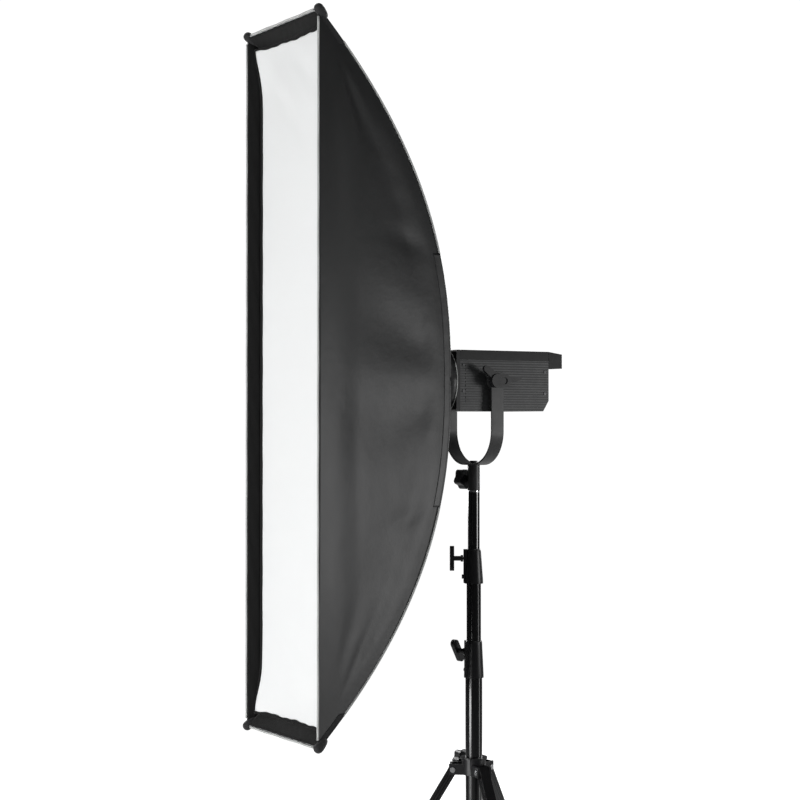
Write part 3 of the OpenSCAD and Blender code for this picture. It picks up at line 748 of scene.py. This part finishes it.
def add_piping():
    """Bound piping on the seams, on the front edges and around the rear opening."""
    edge_y = FRONT_Y - 0.6 * MM
    bars = []
    for side in (1, -1):
        for up in (1, -1):
            seam = seam_path(side, up * FLAP_END, up * SEAM_PIPING_END, 70, 1.0 * MM)
            bars.append(sweep("seam_piping", seam, SEAM_PIPING_R, 10))
        edge = [
            (side * (HALF_W + 0.2 * MM + 0.35 * MM * math.sin(z * 40)), edge_y, AXIS_Z + z)
            for z in np.linspace(-684 * MM, 684 * MM, 140)
        ]
        bars.append(sweep("front_piping", edge, EDGE_PIPING_R, 10))
    for up in (1, -1):
        edge = [
            (x, edge_y, AXIS_Z + up * (HALF_H + 0.2 * MM + 0.4 * MM * math.sin(x * 70)))
            for x in np.linspace(-132 * MM, 132 * MM, 40)
        ]
        bars.append(sweep("end_piping", edge, EDGE_PIPING_R, 10))
    piece = softbox_piece("edge_piping_bound", join("edge_piping_bound", bars), "piping")
    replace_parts(piece, "edge_piping")
    radius = OPENING_PIPING_AT
    ring = [
        (radius * math.cos(a), collar_high.y - 0.4 * MM, AXIS_Z + radius * math.sin(a))
        for a in np.linspace(0, 2 * math.pi, 97)[:-1]
    ]
    hem = sweep("opening_piping", ring, 0.8 * MM, 8, closed=True)
    softbox_piece("opening_piping", hem, "piping")


def add_corner_pockets():
    """Black reinforcement folded over each front corner, with the cap that holds the rod's end."""
    # Distance along the rod and radius, from the cap's mouth to its tip, in millimetres
    profile = [(-24, 4.0), (-19, 7.0), (-11, 9.0), (-3, 10.0)]
    profile += [(3, 9.8), (7, 8.0), (9.5, 5.0), (10.4, 1.0)]
    tapes = []
    for side, up in CORNERS:
        corner = ("top_" if up > 0 else "bottom_") + ("right" if side > 0 else "left")
        heights = np.linspace(up * TAPE_START, up * TAPE_END, 15)
        name = "corner_tape_" + corner
        widths = (15 * MM, lambda z: 22 * MM)
        tapes.append(corner_strip(name, side, heights, *widths, 1.6 * MM, "pocket_fabric"))
        along = np.array([side * 0.14, -0.76, up * 0.64])
        along /= np.linalg.norm(along)
        tip_z = AXIS_Z + up * (HALF_H - 1 * MM)
        tip = np.array([side * (HALF_W - 1 * MM), FRONT_Y + 2 * MM, tip_z])
        path = [tuple(tip + along * s * MM) for s, _ in profile]
        name = "rod_cap_" + corner
        cap = sweep(name, path, [r * MM for _, r in profile], 16)
        cap_piece = softbox_piece(name, cap, "pocket_fabric")
        cap_piece.modifiers.new("smooth", "SUBSURF").levels = 1
        apply_modifiers(cap_piece)
    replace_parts(tapes[0], "corner_pockets")


def lip_point(which, depth, along, inset):
    """A point on the inside of the front lip, depth behind the front edge."""
    y = FRONT_Y + depth
    reach_x = half_width(y) - inset / math.cos(SIDE_ANGLE)
    end_slope = float(seam_slope(HALF_H))
    reach_z = HALF_H - depth / end_slope - inset * math.sqrt(1 + 1 / end_slope**2)
    if which in ("right", "left"):
        side = 1 if which == "right" else -1
        return (side * reach_x, y, AXIS_Z + along * reach_z)
    up = 1 if which == "top" else -1
    return (along * reach_x, y, AXIS_Z + up * reach_z)


def ripple(along, depth):
    """How far the sewn band stands off the lip."""
    return 0.35 * MM * math.sin(along * 37 + 9 * depth / MM / 27)


def add_rim():
    """Hook-and-loop band on the inside of the front lip, as four sewn strips."""
    strips = []
    for which, count in (("right", 161), ("left", 161), ("top", 41), ("bottom", 41)):
        points = np.array([
            [
                lip_point(which, depth, t, RIM_INSET + ripple(t, depth))
                for depth in np.linspace(0.5, 27.5, 7) * MM
            ]
            for t in np.linspace(-1, 1, count)
        ])
        flip = which in ("right", "bottom")
        strips.append(grid_mesh("strip", points if flip else points[:, ::-1]))
    piece = softbox_piece("rim_band_sewn", join("rim_band_sewn", strips), "rim_band")
    thicken(piece, 1.6 * MM, 0)
    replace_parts(piece, "rim_band")


def diffuser_edge(t, vertical):
    """How far the white cloth's edge is pulled in from the lip, along a side from -1 to 1."""
    if vertical:
        corner = (1 - abs(t)) * 672 * MM
        return (8.5 - 6.5 * math.exp(-((corner / 0.06) ** 2))) * MM + 0.5 * MM * math.sin(t * 41)
    return (4.5 + 1.1 * math.sin(t * 9.0 + 1) + 0.7 * math.sin(t * 23)) * MM


def corner_lead(x, z, half_x, half_z):
    """How far the front cloth's side edges come forward of its plane, close to the corners."""
    near_end = np.exp(-(((half_z - np.abs(z)) / LEAD_RANGE) ** 2))
    return LEAD_DEPTH * near_end * np.minimum(1, np.abs(x) / half_x) ** 3


def add_diffuser():
    """The white front cloth, stretched in the recess and puckered at its corners, with a border."""
    y0 = diffuser_low.y - 0.5 * MM
    half_x = half_width(y0) - 2.6 * MM
    half_z = lip_point("top", y0 - FRONT_Y, 0, 2.6 * MM)[2] - AXIS_Z
    rows, columns = 201, 49
    z = half_z * np.linspace(-1, 1, rows)
    x = half_x * np.linspace(-1, 1, columns)
    zz, xx = np.meshgrid(z, x, indexing="ij")
    rim = (1 - (xx / half_x) ** 2) * np.minimum(1, 6 * (1 - np.abs(zz) / half_z))
    near_end = np.exp(-(((half_z - np.abs(zz)) / 0.16) ** 2))
    fold_line = (np.abs(zz) - half_z) * 0.9 + xx * np.sign(zz) * 0.7
    folds = (np.sin(fold_line * 52) * 3.4 + np.sin(fold_line * 95 + xx * 20) * 1.6) * near_end
    slack = ridges(xx, zz, 0.30, 77) * 2.2 + ridges(zz, xx, 0.11, 78) * 0.8
    lead = corner_lead(xx, zz, half_x, half_z)
    y = y0 - (1.5 + slack + folds) * MM * rim - lead
    points = np.stack([xx + np.sign(xx) * lead * math.tan(SIDE_ANGLE), y, AXIS_Z + zz], axis=2)
    piece = softbox_piece("diffuser_cloth", grid_mesh("diffuser_cloth", points), "white_diffuser")
    thicken(piece, FRONT_CLOTH_T, -1)
    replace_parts(piece, "outer_diffuser")

    def border_point(flat_x, flat_z, share):
        """A point of the border, share of the way from the lip to the white cloth."""
        lead = float(corner_lead(flat_x, flat_z, half_x, half_z))
        place_x = flat_x + math.copysign(lead * math.tan(SIDE_ANGLE), flat_x)
        return place_x, y0 - lead - (0.9 + 0.9 * math.sin(share * 3.1)) * MM, AXIS_Z + flat_z

    def inward(half, t, vertical, share):
        return half + 1 * MM - share * (diffuser_edge(t, vertical) + 1 * MM)

    shares = (0, 0.35, 0.7, 1)
    borders = []
    for side in (1, -1):
        strip = [
            [border_point(side * inward(half_x, t, True, s), half_z * t, s) for s in shares]
            for t in np.linspace(-1, 1, 181)
        ]
        borders.append(grid_mesh("border", np.array(strip)[:, ::side]))
    for up in (1, -1):
        strip = [
            [border_point(half_x * t, up * inward(half_z, t, False, s), s) for s in shares]
            for t in np.linspace(-1, 1, 61)
        ]
        borders.append(grid_mesh("border", np.array(strip)[:, ::-up]))
    border = softbox_piece("diffuser_border", join("diffuser_border", borders), "rim_band")
    thicken(border, 0.8 * MM, 0)


def add_baffle():
    """The inner diffuser on its four elastic straps."""
    low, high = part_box("inner_baffle")
    rows, columns = 81, 31
    z = np.linspace(low.z, high.z, rows)
    x = np.linspace(low.x, high.x, columns)
    zz, xx = np.meshgrid(z, x, indexing="ij")
    middle = (1 - (xx / high.x) ** 2) * (1 - ((zz - AXIS_Z) / (high.z - AXIS_Z)) ** 2)
    y = low.y + 0.4 * MM - (3.5 * middle + 0.8 * ridges(xx, zz, 0.09, 90) * (0.3 + middle)) * MM
    mesh = grid_mesh("baffle_cloth", np.stack([xx, y, zz], axis=2))
    piece = softbox_piece("baffle_cloth", mesh, "white_diffuser")
    thicken(piece, FRONT_CLOTH_T, -1)
    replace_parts(piece, "inner_baffle")
    straps = []
    for side, up in CORNERS:
        start_z = AXIS_Z + up * (high.z - AXIS_Z - 3 * MM)
        start = Vector((side * (high.x - 3 * MM), low.y, start_z))
        end = Vector((side * 99.6 * MM, low.y + 4 * MM, AXIS_Z + up * 497 * MM))
        path = [start.lerp(end, t) for t in np.linspace(0, 1, 12)]
        straps.append(sweep("strap", path, 4.5 * MM, 8, squash=(1, 0.16)))
    strap_piece = softbox_piece("elastic_straps", join("elastic_straps", straps), "elastic")
    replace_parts(strap_piece, "baffle_straps")


def rod_path(side, up):
    """The same curve as the CAD rods."""
    path = []
    for z in np.linspace(46 * MM, 655 * MM, 60):
        ny, nz = (float(v) for v in seam_normal(z))
        lead = 1 - z / HALF_H
        y = float(seam_y(z)) - ROD_GAP * ny - ROD_DRAW_BACK * lead**3
        x = float(half_width(y)) - ROD_GAP - ROD_DRAW_IN * lead**6
        path.append((side * x, y, AXIS_Z + up * (z - ROD_GAP * nz)))
    return path


def add_rods():
    tip_radii = [r * MM for r in (2.9, 3.2, 3.2, 3.2, 3.2, 2.6)]
    bars = []
    for side, up in CORNERS:
        path = rod_path(side, up)
        bars.append(sweep("rod", path, 2.4 * MM, 12))
        bars.append(sweep("rod_tip", path[-6:], tip_radii, 12))
    piece = softbox_piece("sprung_rods", join("sprung_rods", bars), "rod_steel")
    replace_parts(piece, "support_rods")


def add_rear_collar():
    """Elasticated sleeve around the rear opening."""
    rows, columns = 13, 120
    points = np.zeros((rows, columns, 3))
    for i, t in enumerate(np.linspace(0, 1, rows)):
        for k in range(columns):
            a = 2 * math.pi * k / columns
            gather = 0.5 * MM * math.sin(a * 34) * (1 - t) + 0.35 * MM * math.sin(a * 11 + 2)
            radius = 76.4 * MM + 1.2 * MM * math.sin(math.pi * t) + gather
            y = collar_low.y + (collar_high.y - collar_low.y) * t
            points[i, k] = (radius * math.cos(a), y, AXIS_Z + radius * math.sin(a))
    piece = softbox_piece("rear_sleeve", grid_mesh("rear_sleeve", points, closed=True), "black_nylon")
    thicken(piece, 1.2 * MM, 0)
    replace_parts(piece, "rear_collar")


add_flaps()
add_piping()
add_corner_pockets()
add_rim()
add_diffuser()
add_baffle()
add_rods()
add_rear_collar()


# ---------------------------------------------------------------- CAD nodes that stay
replaced = {name for piece in bpy.data.objects for name in piece.get("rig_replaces", [])}
for node_name in nodes:
    if node_name not in replaced:
        finish_node(node_name)
